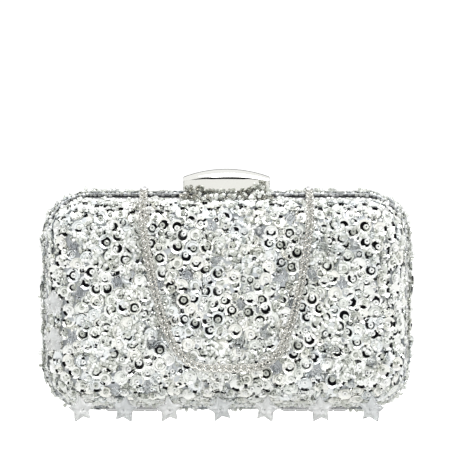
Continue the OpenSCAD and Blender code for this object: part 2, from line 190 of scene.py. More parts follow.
def clear_glass(name, tint, rough=0.02, clarity=1.0):
    """Cut glass or acrylic with faint moulding ripples, a little milky where clarity is under 1."""
    mat, shader = new_material(
        name, Base_Color=(*tint, 1), Transmission_Weight=clarity, IOR=1.5, Roughness=rough)
    bump(mat, shader, noise(mat, 500.0), 0.04, 0.0002)
    return mat


def woven(name, color, dark, thread, rough, sheen, ripple=0.35):
    """A plain weave: two crossed wave patterns, one thread wide, over soft colour variation."""
    mat, shader = new_material(name, Roughness=rough, Sheen_Weight=sheen)
    coords = object_coords(mat)
    waves = []
    for direction in ("X", "Z"):
        wave = add_node(mat, "ShaderNodeTexWave", Scale=1.0 / (thread * MM) / 20, Distortion=0.6, Detail=1.0)
        wave.bands_direction = direction
        link(mat, coords, wave.inputs["Vector"])
        waves.append(wave.outputs["Fac"])
    wear = ranged(mat, noise(mat, 60.0, 4.0), 0.55, 1.0, 0.3, 0.7)
    link(mat, mixed(mat, wear, dark, color), shader.inputs["Base Color"])
    bump(mat, shader, calculated(mat, "MULTIPLY", *waves), ripple, 0.00015)
    return mat


def moulded(name, color, rough):
    """Moulded plastic with a fine grain."""
    mat, shader = new_material(name, Base_Color=(*color, 1), Roughness=rough)
    bump(mat, shader, noise(mat, 2500.0, 3.0), 0.2, 0.0001)
    return mat


SEQUIN_FOILS = [
    metal("sequin_bright", (0.96, 0.97, 0.95), 0.05, 0.03),
    metal("sequin_soft", (0.91, 0.93, 0.90), 0.13),
    metal("sequin_cool", (0.89, 0.92, 0.93), 0.06, 0.03),
    metal("sequin_warm", (0.94, 0.94, 0.90), 0.07, 0.03),
]
BEADS = [
    metal("bead_silver_lined", (0.93, 0.95, 0.92), 0.14, ripple=0.15, metallic=0.3),
    metal("bead_grey_lined", (0.72, 0.74, 0.69), 0.12, ripple=0.15, metallic=0.4),
    metal("bead_bright", (0.97, 0.98, 0.97), 0.16, ripple=0.15, metallic=0.2),
]
HEAP_BEADS = [metal("bead_pewter", (0.52, 0.51, 0.46), 0.12, ripple=0.15, metallic=0.8), *BEADS[:2]]
CRYSTAL = clear_glass("crystal_clear", (0.95, 0.97, 0.97))
CRYSTAL_GREY = clear_glass("crystal_smoke", (0.84, 0.86, 0.88), 0.04)
STAR_CLEAR = clear_glass("star_clear", (0.98, 0.99, 0.99), 0.02, 0.64)
STAR_GREY = clear_glass("star_smoke", (0.88, 0.90, 0.91), 0.03, 0.66)
CLOTH = woven("backing_cloth", (0.74, 0.77, 0.80), (0.58, 0.61, 0.65), 0.5, 0.75, 0.3)
SATIN = woven("satin_lining", (0.52, 0.53, 0.57), (0.36, 0.37, 0.41), 0.28, 0.28, 0.3, 0.25)
CORDING = woven("lining_cord", (0.52, 0.53, 0.57), (0.38, 0.39, 0.43), 0.4, 0.45, 0.4)
# The rims' metal is darker than the nickel's own tone. This is painted shade, so the top edge reads as the
# black line of the shaded gap between the halves.
RIM_METAL_DARKENED_AS_SHADE = metal("rim_nickel_painted_gap_shade", (0.16, 0.16, 0.165), 0.16, scale=400.0)
CLASP_METAL = metal("clasp_polished", (0.80, 0.80, 0.765), 0.07, 0.03, 120.0, 0.02)
CHAIN_METAL = metal("chain_nickel", (0.70, 0.69, 0.65), 0.10)
FITTING_METAL = metal("fitting_nickel", (0.66, 0.66, 0.67), 0.26, 0.12, 500.0, 0.1)
SPRING_METAL = metal("spring_steel", (0.50, 0.51, 0.53), 0.30, 0.12, 500.0, 0.1)
SHELL_PLASTIC = moulded("shell_plastic", (0.72, 0.73, 0.75), 0.55)


# ---------- mesh helpers

def to_bmesh(verts, faces):
    """A bmesh for editing; the caller frees it through read_faces."""
    bm = bmesh.new()
    made = [bm.verts.new(v) for v in verts]
    bm.verts.index_update()
    for face in faces:
        bm.faces.new([made[i] for i in face])
    return bm


def read_faces(bm):
    """The faces as index lists, their normals turned outward; frees the bmesh."""
    bmesh.ops.recalc_face_normals(bm, faces=bm.faces)
    faces = [[v.index for v in f.verts] for f in bm.faces]
    bm.free()
    return faces


def build_object(name, verts, loops, totals, materials, picks, smooth):
    """An object from vertices in millimetres, flat loops and a corner count for each face."""
    mesh = bpy.data.meshes.new(name)
    mesh.vertices.add(len(verts))
    mesh.vertices.foreach_set("co", (np.asarray(verts, dtype=float) * MM).ravel())
    mesh.loops.add(len(loops))
    mesh.loops.foreach_set("vertex_index", loops.astype(np.int32))
    mesh.polygons.add(len(totals))
    starts = np.concatenate([[0], np.cumsum(totals)[:-1]])
    mesh.polygons.foreach_set("loop_start", starts.astype(np.int32))
    if picks is not None:
        mesh.polygons.foreach_set("material_index", np.asarray(picks, dtype=np.int32))
    mesh.polygons.foreach_set("use_smooth", np.full(len(totals), smooth))
    mesh.update(calc_edges=True)
    mesh.validate()
    for mat in materials:
        mesh.materials.append(mat)
    obj = bpy.data.objects.new(name, mesh)
    bpy.context.scene.collection.objects.link(obj)
    return obj


def make_object(name, verts, faces, materials, smooth=True):
    """An object from vertices in millimetres and index lists."""
    return build_object(name, verts, np.concatenate(faces), [len(f) for f in faces], materials, None, smooth)


def scatter(name, template, turns, spots, materials, picks=None, smooth=False):
    """Copies of a template (vertices, faces) joined in one object.

    Each copy has one material pick; without picks they take the materials in turn.
    """
    verts, faces = template
    count, size = len(spots), len(verts)
    if picks is None:
        picks = np.arange(count) % len(materials)
    placed = np.einsum("kij,nj->kni", np.asarray(turns), verts) + np.asarray(spots, dtype=float)[:, None, :]
    loops = (np.concatenate(faces)[None, :] + (np.arange(count) * size)[:, None]).ravel()
    totals = np.tile([len(f) for f in faces], count)
    picks = np.repeat(picks, len(faces))
    return build_object(name, placed.reshape(-1, 3), loops, totals, materials, picks, smooth)


def declare(piece, body, slot, *nodes):
    """Hangs a piece on the body it rides on and hides the CAD nodes it stands for; slot, its finish, is not
    used.
    """
    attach(piece, body)
    if nodes:
        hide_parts(*nodes)


def add_thickness(obj, thickness):
    """Gives a sheet its thickness, half on each side."""
    solid = obj.modifiers.new("thickness", "SOLIDIFY")
    solid.thickness = thickness * MM
    solid.offset = 0.0


def unit(v):
    return v / np.linalg.norm(v, axis=-1, keepdims=True)


def around(steps):
    """Angles evenly spaced round a full circle."""
    return np.arange(steps) * 2 * math.pi / steps


def along_line(points):
    """The distance of each point from the first one, measured along the line."""
    return np.concatenate([[0], np.cumsum(np.linalg.norm(np.diff(points, axis=0), axis=1))])


def facing(normals, spins):
    """Rotation matrices whose third column is each normal, turned about it by spin."""
    normals = unit(np.asarray(normals, dtype=float))
    up = np.where(np.abs(normals[:, 2:3]) > 0.9, [[1.0, 0.0, 0.0]], [[0.0, 0.0, 1.0]])
    side = unit(np.cross(up, normals))
    over = np.cross(normals, side)
    c, s = np.cos(spins)[:, None], np.sin(spins)[:, None]
    return np.stack([side * c + over * s, over * c - side * s, normals], axis=2)


def loft(rings, closed=True):
    """Vertices and faces through rings of equal length, closed into a loop or capped at both ends."""
    verts = np.concatenate(rings)
    n, rows = len(rings[0]), len(rings)
    faces = [
        [i * n + k, i * n + (k + 1) % n, (i + 1) % rows * n + (k + 1) % n, (i + 1) % rows * n + k]
        for i in range(rows if closed else rows - 1)
        for k in range(n)
    ]
    if not closed:
        faces.append(list(range(n))[::-1])
        faces.append([(rows - 1) * n + k for k in range(n)])
    return verts, faces


def solid_loft(rings, closed=True):
    """A loft with outward normals."""
    verts, faces = loft(rings, closed)
    return verts, read_faces(to_bmesh(verts, faces))


def revolve(section, segments):
    """A closed template turned about Z from a closed section of (radius, height) points."""
    angles = around(segments)
    circle = np.column_stack([np.cos(angles), np.sin(angles), np.zeros(segments)])
    return solid_loft([r * circle + (0, 0, z) for r, z in section])


def looped_tube(points, radius, segments=8):
    """A round tube through the points of a loop that lies flat at one y."""
    tangents = unit(np.roll(points, -1, axis=0) - np.roll(points, 1, axis=0))
    side = unit(np.cross(tangents, [0.0, 1.0, 0.0]))
    over = np.cross(side, tangents)
    angles = around(segments)
    return solid_loft([
        p + radius * (np.outer(np.cos(angles), s) + np.outer(np.sin(angles), o))
        for p, s, o in zip(points, side, over)
    ])


# ---------- the pillow surfaces

CORNER_STEPS, LONG_STEPS, SHORT_STEPS = 12, 26, 12
SIDE_STEPS, ROUND_STEPS = 3, 9


def outline(inset):
    """The rim's outline moved inward, counter-clockwise, as rows of x, z and the outward normal's x, z."""
    r = max(RIM_R - inset, 3.0)
    half_w, half_h = RIM_W / 2 - inset - r, RIM_H / 2 - inset - r
    rows = []
    for quarter in range(4):
        sx = (1, -1, -1, 1)[quarter]
        sz = (1, 1, -1, -1)[quarter]
        for i in range(CORNER_STEPS + 1):
            a = math.radians(90 * quarter + 90 * i / CORNER_STEPS)
            c, s = math.cos(a), math.sin(a)
            rows.append((sx * half_w + r * c, sz * half_h + r * s, c, s))
        steps = LONG_STEPS if quarter % 2 == 0 else SHORT_STEPS
        nx, nz = ((0, 1), (-1, 0), (0, -1), (1, 0))[quarter]
        ex = (-half_w, -half_w - r, half_w, half_w + r)[quarter]
        ez = (half_h + r, -half_h, -half_h - r, half_h)[quarter]
        x, z = rows[-1][:2]
        rows += [(x + (ex - x) * k / steps, z + (ez - z) * k / steps, nx, nz) for k in range(1, steps)]
    rows = np.array(rows)
    rows[:, 1] += RIM_MID
    return rows


def at_depth(line, y):
    """The points of an outline at this y."""
    return np.column_stack([line[:, 0], np.full(len(line), y), line[:, 1]])


def section_of_half(offset, inset, crown, reach=27, steps=8):
    """The half's section from rim to face, as inset, depth and the normal's angle from the outline's plane.

    The face is drawn for reach millimetres inward of its rounded edge, in this many steps.
    """
    radius = HALF_R - offset
    rows = [(inset + offset, d, 0.0) for d in np.linspace(RIM_D, HALF_D - HALF_R, SIDE_STEPS + 1)[:-1]]
    for a in np.linspace(0, math.pi / 2, ROUND_STEPS + 1):
        rows.append((inset + offset + radius * (1 - math.cos(a)), HALF_D - HALF_R + radius * math.sin(a), a))
    for k in np.linspace(0, 1, steps + 1)[1:]:
        rise = crown * math.sin(k * math.pi / 2)
        rows.append((inset + HALF_R + reach * k, HALF_D - offset + rise, math.pi / 2))
    return rows


def pillow(offset, inset, side, crown=CROWN, reach=27, steps=8):
    """Vertices, normals and faces of a half's surface; side is -1 for the front half, 1 for the rear."""
    verts, normals = [], []
    rings = section_of_half(offset, inset, crown, reach, steps)
    for ring_inset, depth, a in rings:
        line = outline(ring_inset)
        flat, steep = math.cos(a), np.full(len(line), side * math.sin(a))
        verts.append(at_depth(line, side * depth))
        normals.append(np.column_stack([line[:, 2] * flat, steep, line[:, 3] * flat]))
    n = len(verts[0])
    verts.append([[0.0, verts[-1][0][1], RIM_MID]])
    normals.append([[0.0, side, 0.0]])
    faces = [
        [k * n + i, k * n + (i + 1) % n, (k + 1) * n + (i + 1) % n, (k + 1) * n + i]
        for k in range(len(rings) - 1)
        for i in range(n)
    ]
    last, hub = (len(rings) - 1) * n, len(rings) * n
    faces += [[last + i, last + (i + 1) % n, hub] for i in range(n)]
    if side > 0:
        faces = [f[::-1] for f in faces]
    return np.concatenate(verts), np.concatenate(normals), faces


def triangles(faces):
    return np.array([t for f in faces for t in ([f[:3], [f[0], f[2], f[3]]] if len(f) == 4 else [f])])


def triangle_areas(verts, tris):
    a, b, c = (verts[tris[:, i]] for i in range(3))
    return np.linalg.norm(np.cross(b - a, c - a), axis=1) / 2


def sample_surface(verts, normals, faces, count):
    """Random points, evenly spread by area over the faces, with their normals."""
    tris = triangles(faces)
    areas = triangle_areas(verts, tris)
    chosen = rng.choice(len(tris), size=count, p=areas / areas.sum())
    u, v = rng.random((2, count))
    flip = u + v > 1
    u, v = np.where(flip, 1 - u, u), np.where(flip, 1 - v, v)
    weights = np.stack([1 - u - v, u, v], axis=1)[:, :, None]
    corners = tris[chosen]
    return (verts[corners] * weights).sum(axis=1), unit((normals[corners] * weights).sum(axis=1))


class Spacing:
    """Keeps points a distance apart, on a hash grid: each one's room is a radius that others stay out of."""

    def __init__(self, cell=8.0):
        self.cell = cell
        self.grid = {}

    def cells(self, p):
        return tuple(int(math.floor(v / self.cell)) for v in p)

    def free(self, p, gap):
        near = (range(c - 1, c + 2) for c in self.cells(p))
        for cell in itertools.product(*near):
            if any(math.dist(p, q) < gap + room for q, room in self.grid.get(cell, ())):
                return False
        return True

    def keep(self, p, room):
        self.grid.setdefault(self.cells(p), []).append((tuple(p), room))


# ---------- templates for what is sewn on

def cup_sequin(radius, flat, height, segments):
    """A pierced, faceted cup of foil whose flat middle is slightly dished, open upwards."""
    hole, foil, edge = 0.45, 0.12, 0.02
    dish = flat * math.tan(math.radians(4))
    return revolve([
        (hole, 0.0), (flat, dish), (radius, height),
        (radius - edge, height - foil), (flat, dish - foil), (hole, -foil),
    ], segments)


def cut_bead(radius, height, segments=7):
    """A short cut-glass ring bead standing on Z = 0."""
    return revolve([
        (0.8 * radius, 0.0), (radius, 0.3 * height), (radius, 0.7 * height), (0.8 * radius, height),
        (0.32 * radius, 0.5 * height),
    ], segments)


def bicone(radius, height):
    """A cut bicone lying on its side over Z = 0."""
    verts, faces = revolve([
        (0.25 * radius, -height / 2), (radius, -0.12 * height), (radius, 0.12 * height),
        (0.25 * radius, height / 2), (0.2 * radius, 0.3 * height), (0.2 * radius, -0.3 * height),
    ], 8)
    return np.column_stack([verts[:, 2], verts[:, 0], verts[:, 1] + radius * 0.9]), faces


def flower_bead(radius, height):
    """A six-petalled clear bead with ridged petals and a hole."""
    angles = around(12)
    reach = np.where(np.arange(12) % 2 == 0, radius, 0.62 * radius)
    hole = 0.28 * radius

    def ring(r, z):
        return np.column_stack([r * np.cos(angles), r * np.sin(angles), np.full(12, z)])

    return solid_loft([ring(reach, 0.5 * height), ring(hole, height), ring(hole, 0.0)])


def star_bead():
    """A pierced five-pointed star in XZ, ridged along each arm, with its two lower tips cut blunt."""
    angles = np.radians(90 + 36 * np.arange(10))
    tip = np.arange(10) % 2 == 0

    def ring(r, y):
        return np.column_stack([r * np.cos(angles), np.broadcast_to(y, 10), r * np.sin(angles)])

    reach = np.where(tip, STAR_R, STAR_WAIST * STAR_R)
    edge = np.where(tip, 0.8, 1.9)
    half, crest, hole, funnel = STAR_T / 2, 1.9, 0.6, 0.4
    bm = to_bmesh(*loft([
        ring(reach, -edge), ring(reach, edge), ring(crest, half), ring(hole, half - funnel),
        ring(hole, funnel - half), ring(crest, -half),
    ]))
    cut = bmesh.ops.bisect_plane(bm, geom=bm.verts[:] + bm.edges[:] + bm.faces[:],
                                 plane_co=(0, 0, -STAR_Z), plane_no=(0, 0, -1), clear_outer=True)
    bmesh.ops.holes_fill(bm, edges=[e for e in cut["geom_cut"] if isinstance(e, bmesh.types.BMEdge)])
    bm.verts.index_update()
    verts = np.array([v.co for v in bm.verts])
    return verts, read_faces(bm)


def about_z(degrees):
    c, s = math.cos(math.radians(degrees)), math.sin(math.radians(degrees))
    return np.array([[c, -s, 0], [s, c, 0], [0, 0, 1]])


def in_face(degrees):
    """Turns +X towards +Z in the front face, as seen from the front."""
    c, s = math.cos(math.radians(degrees)), math.sin(math.radians(degrees))
    return np.array([[c, 0, -s], [0, 1, 0], [s, 0, c]])


# ---------- the beaded halves

def clear_of_fittings(reach):
    """A test that keeps trimming of this reach off the rims, clasp and chain lugs."""
    def allowed(p):
        x, y, z = abs(p[0]), abs(p[1]), p[2]
        if y < RIM_D + reach:
            return False
        if z <= TOP_ROOM_Z:
            return True
        if x < CLASP_ROOM[0] and y < CLASP_ROOM[1] + reach / 2:
            return False
        return abs(x - LUG_X) >= LUG_ROOM[0] + reach or y >= LUG_ROOM[1] + reach
    return allowed


class Embroidery:
    """Sews one half: keeps its candidate places and the room that is taken."""

    def __init__(self, label, side, offset, inset):
        self.label = label
        self.verts, self.normals, self.faces = pillow(offset, inset, side)
        self.spots, self.ups = sample_surface(self.verts, self.normals, self.faces, CANDIDATES)
        self.spacing = Spacing()

    def settle(self, first, last, room, reach):
        """Takes the candidates from first to last that fit, each keeping room around it."""
        allowed = clear_of_fittings(reach)
        kept = []
        for i in range(first, last):
            p = self.spots[i]
            if allowed(p) and self.spacing.free(p, room):
                self.spacing.keep(p, room)
                kept.append(i)
        return np.array(kept)

    def poses(self, indices, low, high, lean):
        """Leaning turns, and places lifted off the cloth, most at the sides, less above and underneath."""
        base = self.ups[indices]
        under, over = -0.75, 0.7
        level = np.where(base[:, 2:3] < 0, under, over) * base[:, 2:3]
        lift = 0.8 * (1 - np.abs(base[:, 1:2])) + rng.uniform(low, high, (len(indices), 1))
        lift = lift * (1 - level)
        leaned = unit(base + rng.normal(0, lean, base.shape) * (1 - level))
        turns = facing(leaned, rng.uniform(0, 2 * math.pi, len(indices)))
        return turns, self.spots[indices] + base * lift

    def sew(self, name, template, turns, places, materials=BEADS, slot="seed_bead", chances=None):
        picks = rng.choice(len(materials), len(places), p=chances)
        piece = scatter(self.label + "_" + name, template, turns, places, materials, picks)
        declare(piece, self.label + "_half", slot)


def bead_strings(work, count):
    """Short rows of beads that lie in crowds over the sequins on the face, as turns and places."""
    flat = np.flatnonzero(np.abs(work.ups[:, 1]) > 0.97)
    x, z = work.spots[flat][:, 0], work.spots[flat][:, 2]
    crowd = np.sin(0.11 * x + 1.0) + np.sin(0.14 * z + 2.0)
    crowd += np.sin(0.08 * (x + z)) + np.sin(0.09 * (x - z) + 4.0)
    starts = rng.choice(flat[crowd > 0.3], count, replace=False)
    spots, turns, pitch, side_end = [], [], 1.65, 84
    for i in starts:
        a = rng.uniform(0, math.pi)
        along = np.array([math.cos(a), 0.0, math.sin(a)])
        number = rng.integers(2, 6)
        for k in range(number):
            t = k - (number - 1) / 2
            lift = 1.9 + rng.uniform(-0.2, 0.2) - 0.12 * t * t
            spots.append(work.spots[i] + along * pitch * t + work.ups[i] * lift)
            turns.append(along + rng.normal(0, 0.12, 3))
    keep = [k for k, p in enumerate(spots) if clear_of_fittings(2.0)(p) and abs(p[0]) < side_end]
    return facing(np.array(turns)[keep], rng.uniform(0, SPIN_MOST, len(keep))), np.array(spots)[keep]


def edging(side, offset, inset):
    """Rows and clusters of seed beads that cover the cloth's edge along the rim, as turns and places."""
    spots, ways = [], []
    near, far, step = RIM_D + 0.95, RIM_D + 2.5, 0.4
    rows = [(near, 0.4, 0.0), (far, 0.7, 0.5)]
    if side < 0:
        rows = [(near, 0.8, 0.0), (near, 2.2, 0.5), (far, 1.4, 0.25)]
    for depth, rise, start in rows:
        line = outline(inset + offset - rise)
        line[:, 1] -= EDGE_SINK * (np.maximum(0, line[:, 3]) if side > 0 else np.abs(line[:, 3]))
        ring = np.vstack([line[:, :2], line[:1, :2]])
        run = along_line(ring)
        along = (np.arange(int(run[-1] / EDGE_PITCH)) + start) * EDGE_PITCH
        x, z = (np.interp(along, run, ring[:, k]) for k in (0, 1))
        ahead_x, ahead_z = (np.interp(along + step, run, ring[:, k]) for k in (0, 1))
        spots.append(np.column_stack([x, np.full(len(x), side * depth), z]))
        ways.append(np.column_stack([ahead_x - x, np.zeros(len(x)), ahead_z - z]) / step)
    line = outline(inset + offset - 1.0)
    lowest, low, high = 1.9, (-0.4, -2.4, 0.8), (EDGE_BULGE, 2.4, 5.0)
    for i in rng.choice(len(line), EDGE_CLUSTERS, replace=False):
        x, z, nx, nz = line[i]
        number = rng.integers(4, 10)
        rise, slide, back = rng.uniform(low, high, (number, 3)).T
        rise = rise * (1 - 0.5 * abs(nz))
        out_x, out_z = nx * rise - nz * slide, nz * rise + nx * slide
        spots.append(np.column_stack([x + out_x, side * (RIM_D + back), z + out_z]))
        ways.append(rng.normal(0, 1, (number, 3)))
    spots, ways = np.concatenate(spots), np.concatenate(ways)
    spots = spots + rng.normal(0, EDGE_SHIFT, spots.shape)
    keep = np.array([clear_of_fittings(0.0)(p) and p[2] > lowest for p in spots])
    ways = ways[keep] + rng.normal(0, 0.15, (keep.sum(), 3))
    return facing(ways, rng.uniform(0, SPIN_MOST, len(ways))), spots[keep]


def centre_beads(turns, places, flat):
    """A bead a little off the middle of each sequin, as turns and places."""
    side, over, up = turns[:, :, 0], turns[:, :, 1], turns[:, :, 2]
    stray = np.clip(rng.normal(0, STRAY, (len(turns), 2)), -STRAY_MOST, STRAY_MOST) * flat
    places = places + side * stray[:, :1] + over * stray[:, 1:] + up * 0.12
    leaned = up + rng.normal(0, 0.25, (len(turns), 3))
    return facing(leaned, rng.uniform(0, SPIN_MOST, len(turns))), places


def clasp_heaps():
    """Heaps of beads on the front edge that hide the foot of the clasp, as turns and places."""
    spots = []
    for x, height in CLASP_HEAPS:
        number = int(10 + 3 * height)
        across = rng.uniform(-1, 1, number)
        rise = HEAP_LOW + (height - HEAP_LOW) * np.sqrt(1 - across * across) * rng.random(number)
        depth = rng.uniform(-0.9, 2.2, number) * (1 - rise / (height + 2))
        spots.append(np.column_stack([x + HEAP_R * across, HEAP_Y - depth, RIM_TOP + rise]))
    spots = np.concatenate(spots)
    return facing(rng.normal(0, 1, spots.shape), rng.uniform(0, SPIN_MOST, len(spots))), spots


def beaded_half(label, side, offset, inset):
    """The backing cloth of a half and everything sewn on it."""
    work = Embroidery(label, side, offset, inset)
    cloth = make_object(label + "_backing_cloth", work.verts, work.faces, [CLOTH])
    add_thickness(cloth, 0.5)
    declare(cloth, label + "_half", "cover", label + "_cover")

    crystals = work.settle(0, CRYSTALS_END, 6.5, 4.0)
    crystals = crystals[np.abs(work.ups[crystals][:, 1]) > 0.7][:CRYSTALS]
    work.spacing = Spacing()
    for i in crystals:
        work.spacing.keep(work.spots[i], 2.6)
    clear = [CRYSTAL, CRYSTAL_GREY]
    for name, template, chosen in (
        ("flower_crystals", flower_bead(3.4, 2.6), crystals[::2]),
        ("bicone_crystals", bicone(2.2, 6.0), crystals[1::2]),
    ):
        work.sew(name, template, *work.poses(chosen, 0.8, 1.4, 0.15), clear, "crystal")

    large = work.settle(CRYSTALS_END, LARGE_END, 2.5, 2.0)
    small = work.settle(LARGE_END, SMALL_END, 1.5, 1.1)
    tiny = work.settle(SMALL_END, TINY_END, 1.05, 0.8)
    large_poses = work.poses(large, 0.3, 1.4, 0.15)
    small_poses = work.poses(small, 0.3, 1.5, 0.16)
    work.sew("large_sequins", cup_sequin(*LARGE_CUP), *large_poses, SEQUIN_FOILS, "cover")
    work.sew("small_sequins", cup_sequin(*SMALL_CUP), *small_poses, SEQUIN_FOILS, "cover")
    tiny_poses = work.poses(tiny, 0.15, 1.0, 0.2)
    work.sew("tiny_sequins", cup_sequin(*TINY_CUP), *tiny_poses, SEQUIN_FOILS, "cover")

    for name, poses, flat in (("large", large_poses, LARGE_CUP[1]), ("small", small_poses, SMALL_CUP[1])):
        centres = centre_beads(*poses, flat)
        work.sew(name + "_centre_beads", cut_bead(0.54 * flat, 1.35, 8), *centres)

    filler = work.settle(TINY_END, CANDIDATES, 0.85, 0.6)
    work.sew("seed_beads", cut_bead(1.0, 1.4), *work.poses(filler, 0.2, 1.9, 0.7))
    work.sew("bead_strings", cut_bead(0.95, 1.5), *bead_strings(work, STRINGS))
    work.sew("edging_beads", cut_bead(1.0, 1.6), *edging(side, offset, inset))
    if side < 0:
        work.sew("clasp_beads", cut_bead(1.1, 1.6), *clasp_heaps(), HEAP_BEADS, chances=(0.45, 0.3, 0.25))


# ---------- rims, clasp and chain

def rounded_section(low, high, radii, steps=5):
    """A rounded rectangle as points, with a radius for each corner from (low, low) counter-clockwise."""
    corners = ((low[0], low[1], 180), (high[0], low[1], 270), (high[0], high[1], 0), (low[0], high[1], 90))
    points = []
    for (x, y, start), r in zip(corners, radii):
        cx = x + (r if x == low[0] else -r)
        cy = y + (r if y == low[1] else -r)
        for k in range(steps + 1):
            a = math.radians(start + 90 * k / steps)
            points.append((cx + r * math.cos(a), cy + r * math.sin(a)))
    return points


def rolled_rim(label, side):
    """A polished rim whose outer edge is rolled over, in metal darkened as painted shade for the gap along
    the top edge.
    """
    section = rounded_section((0.0, RIM_GAP / 2), (RIM_T, RIM_D), (0.5, 0.4, 0.4, 1.5))
    rings = [at_depth(outline(inset), side * depth) for inset, depth in section]
    rim = make_object(label + "_rolled_rim", *solid_loft(rings), [RIM_METAL_DARKENED_AS_SHADE])
    declare(rim, label + "_half", "rim", label + "_rim")


def arc_drop(rise, x):
    """How far an arc that rises by rise over the bar's length has dropped at x."""
    radius = ((BAR_W / 2) ** 2 + rise * rise) / (2 * rise)
    return radius - math.sqrt(radius * radius - x * x)


def clasp_bar():
    """The press bar: arched, bowed and polished; its front leans back below a brow, crisper at its ends."""
    rings = []
    end_r, arc_steps, lean, brow_out, wall = 0.4, 24, 1.4, 0.3, 0.2
    ends = [(BAR_W / 2 - e, end_r - math.sqrt(end_r ** 2 - (end_r - e) ** 2)) for e in (0.0, 0.12, end_r)]
    stations = [(-x, shrink) for x, shrink in ends]
    stations += [(x, 0.0) for x in np.linspace(-1, 1, 45) * (BAR_W / 2 - 2 * end_r)]
    stations += ends[::-1]
    for x, shrink in stations:
        half = BAR_R - arc_drop(BAR_BOW, x) - shrink
        top = BAR_TOP - arc_drop(BAR_ARCH, x) - shrink
        shoulder = BAR_TOP - BAR_R - 1.1 * (2 * x / BAR_W) ** 2
        front, back = BAR_Y - half, BAR_Y + half
        foot, brow = front + lean, front - brow_out
        room = -RIM_D - RIM_GAP - wall - foot
        low = BAR_LOW + shrink
        lip = low - BAR_SKIRT * min(1.0, max(0.0, room / 0.4))
        inside = foot + wall + max(room, 0.15)
        soft = 1 - 0.9 * min(1.0, max(0.0, (abs(x) - 8.5) / 2))
        skip = 0.35 * soft
        face = np.array([(foot, lip + 0.2), (brow, shoulder)])
        face_rows = (0, 0.33, 0.66, 1 - 0.05 * soft, 1.0)
        points = [(foot + 0.1, lip), *(face[0] + (face[1] - face[0]) * k for k in face_rows)]
        for k in range(arc_steps + 1):
            a = BROW_ANGLE + (math.pi - BROW_ANGLE) * (k + skip) / (arc_steps + skip)
            forward = -math.cos(a) / math.cos(BROW_ANGLE)
            over = (math.sin(a) - math.sin(BROW_ANGLE)) / (1 - math.sin(BROW_ANGLE))
            y = BAR_Y + forward * ((BAR_Y - brow) if forward < 0 else half * math.cos(BROW_ANGLE))
            points.append((y, shoulder + (top - shoulder) * over))
        points += [(back, low + 0.3), (back - 0.3, low), (inside, low), (inside, lip)]
        rings.append(np.array([(x, y, z) for y, z in points]))
    bar = make_object("clasp_bar", *solid_loft(rings, closed=False), [CLASP_METAL])
    bar.data.set_sharp_from_angle(angle=math.radians(50))
    declare(bar, "press_bar", "clasp", "press_bar")


def wire_ring(wire, across, sides):
    """A circle of this radius about the origin, in the plane of Z and the direction across."""
    b = around(sides)
    return wire * (np.outer(np.cos(b), across) + np.outer(np.sin(b), [0, 0, 1]))


def ring_link(long_r, short_r, wire, steps=16, sides=6):
    """An oval wire link in XY, long along X."""
    rings = []
    for t in around(steps):
        across = unit(np.array([short_r * math.cos(t), long_r * math.sin(t), 0.0]))
        centre = np.array([long_r * math.cos(t), short_r * math.sin(t), 0.0])
        rings.append(centre + wire_ring(wire, across, sides))
    return solid_loft(rings)


def chain_path():
    """The chain's centre line from the left lug to the right one, with the normal that looks outward."""
    half = [(y, LUG_Z, 0, 0, 1) for y in np.linspace(LUG_Y, BEND_Y, 8)[:-1]]
    for a in np.linspace(0, math.pi / 2, 24)[:-1]:
        s, c = math.sin(a), math.cos(a)
        half.append((BEND_Y - BEND_R * s, BEND_Z + BEND_R * c, 0, -s, c))
    rows = [(-LUG_X, *row) for row in half]
    for u in np.linspace(-1, 1, 181):
        x = LUG_X * u + LOOP_SKEW * (1 - u * u)
        rows.append((x, LOOP_Y, LOOP_LOW + (BEND_Z - LOOP_LOW) * abs(u) ** 4.2, 0, -1, 0))
    rows += [(LUG_X, *row) for row in half[::-1]]
    rows = np.array(rows, dtype=float)
    return rows[:, :3], rows[:, 3:]


def coil_springs():
    """The two springs under the stems' collars, built at one length on the front half; the real ones shorten
    as the bar is pressed.
    """
    low, high, radius, wire, turns, steps = RIM_TOP - 16.35, RIM_TOP - 8.45, 1.62, 0.3, 6, 20
    rings = []
    for i in range(turns * steps + 1):
        a = 2 * math.pi * i / steps
        radial = np.array([math.cos(a), math.sin(a), 0.0])
        rise = low + wire + (high - low - 2 * wire) * i / (turns * steps)
        rings.append(radius * radial + (0, 0, rise) + wire_ring(wire, radial, 8))
    springs = scatter("stem_coil_springs", solid_loft(rings, closed=False), [np.eye(3)] * 2,
                      [(s * STEM_X, STEM_Y, 0.0) for s in (-1, 1)], [SPRING_METAL], smooth=True)
    declare(springs, "front_half", "spring", "return_springs")
    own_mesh(springs)


